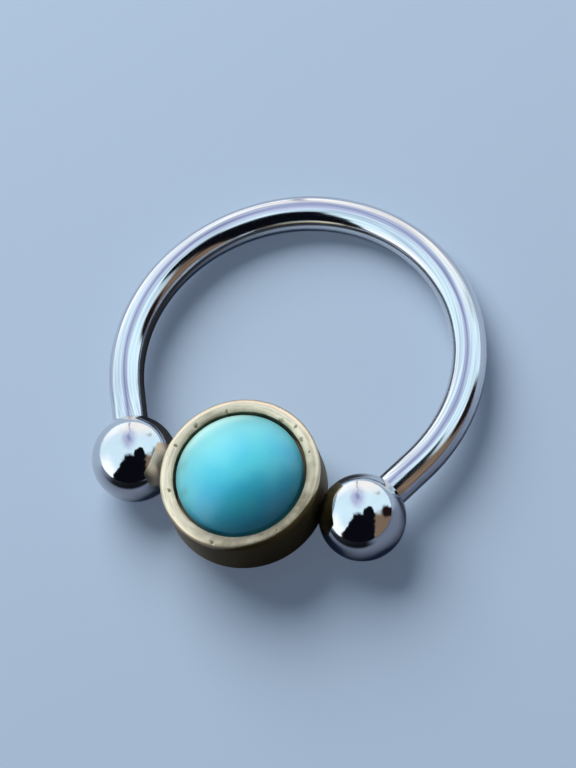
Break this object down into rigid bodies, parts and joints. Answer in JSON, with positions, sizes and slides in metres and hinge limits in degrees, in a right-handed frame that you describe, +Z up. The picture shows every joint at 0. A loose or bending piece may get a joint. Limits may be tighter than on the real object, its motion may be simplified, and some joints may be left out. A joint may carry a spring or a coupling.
{
  "type": "captive bead ring",
  "caption": "Captive bead ring of round steel wire, closed by a bead: a turquoise in a brass bezel between two steel balls.",
  "frame": {"origin": "on the surface that the ring lies on, under the middle of its bounding box", "axes": "+Z up out of the stone, -Y towards the bead, +Y towards the back of the wire, +X from the left ball to the right ball"},
  "size_m": [0.0176, 0.0194, 0.0054],
  "materials": {
    "steel": "polished",
    "antique_brass": "satin",
    "turquoise": "satin"
  },
  "bodies": {
    "root": {"ring": "steel", "ball_left": "steel", "ball_right": "steel", "post": "steel", "bezel": "antique_brass", "stone": "turquoise"}
  },
  "joints": []
}
